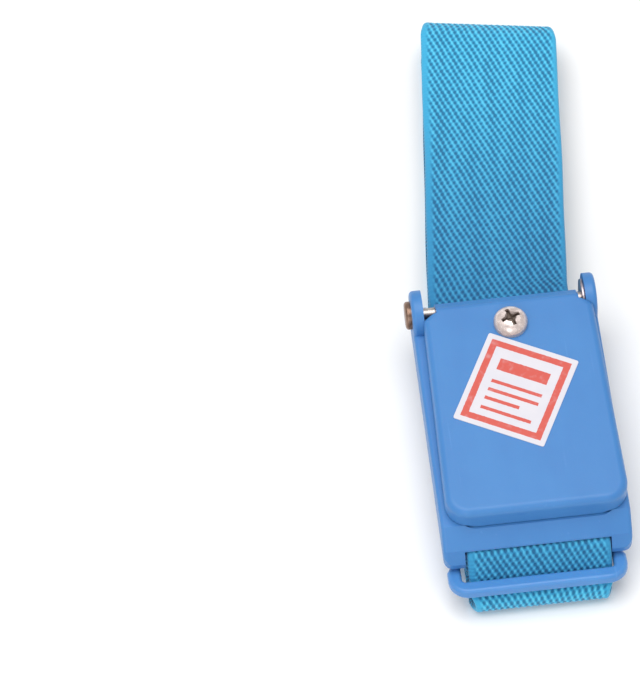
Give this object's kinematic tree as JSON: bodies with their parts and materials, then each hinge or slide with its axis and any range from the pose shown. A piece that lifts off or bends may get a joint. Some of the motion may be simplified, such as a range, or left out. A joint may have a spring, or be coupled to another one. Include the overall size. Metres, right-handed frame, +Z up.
{
  "type": "anti-static wrist strap",
  "caption": "Cordless anti-static wrist strap: elastic webbing loop through a hinged clamp housing with a ground screw, a ring slider at the other end.",
  "frame": {"origin": "on the resting plane, under the middle of the housing", "axes": "+Y from the slider end to the hinge end and the far fold, +Z up out of the lid, +X to the right"},
  "size_m": [0.0303, 0.1019, 0.0174],
  "materials": {
    "webbing": "twill weave",
    "silver_yarn": "metallised yarn",
    "nickel": "nickel plate",
    "housing_blue": "semi-gloss moulding",
    "steel": "plain steel",
    "brass": "plain brass",
    "resistor_coat": "lacquer",
    "tinned_wire": "tinned",
    "label_white": "coated paper",
    "crimp_pale": "satin"
  },
  "bodies": {
    "housing": {"base_tray": "housing_blue", "hinge_pin": "steel", "pin_washer": "steel", "elastic_band": "webbing", "conductive_yarns": "silver_yarn", "end_tip": "nickel"},
    "lid": {"lid_cover": "housing_blue", "ground_screw": "nickel", "solder_tag": "brass", "lock_washer": "steel", "screw_nut": "brass", "contact_leaf": "nickel", "series_resistor": "resistor_coat", "resistor_leads": "tinned_wire", "label_sticker": "label_white"},
    "slider": {"slider": "housing_blue", "band_sewn_end": "webbing", "slider_end_crimp": "crimp_pale"}
  },
  "joints": [
    {"name": "lid_hinge", "type": "hinge", "parent": "housing", "child": "lid", "pos_m": [0, 0.01985, 0.0121], "axis": [-1, 0, 0], "range_deg": [0, 105]},
    {"name": "slider_slide", "type": "slide", "parent": "housing", "child": "slider", "axis": [0, -1, 0], "range_m": [0, 0.008], "deforming": ["elastic_band"]}
  ]
}
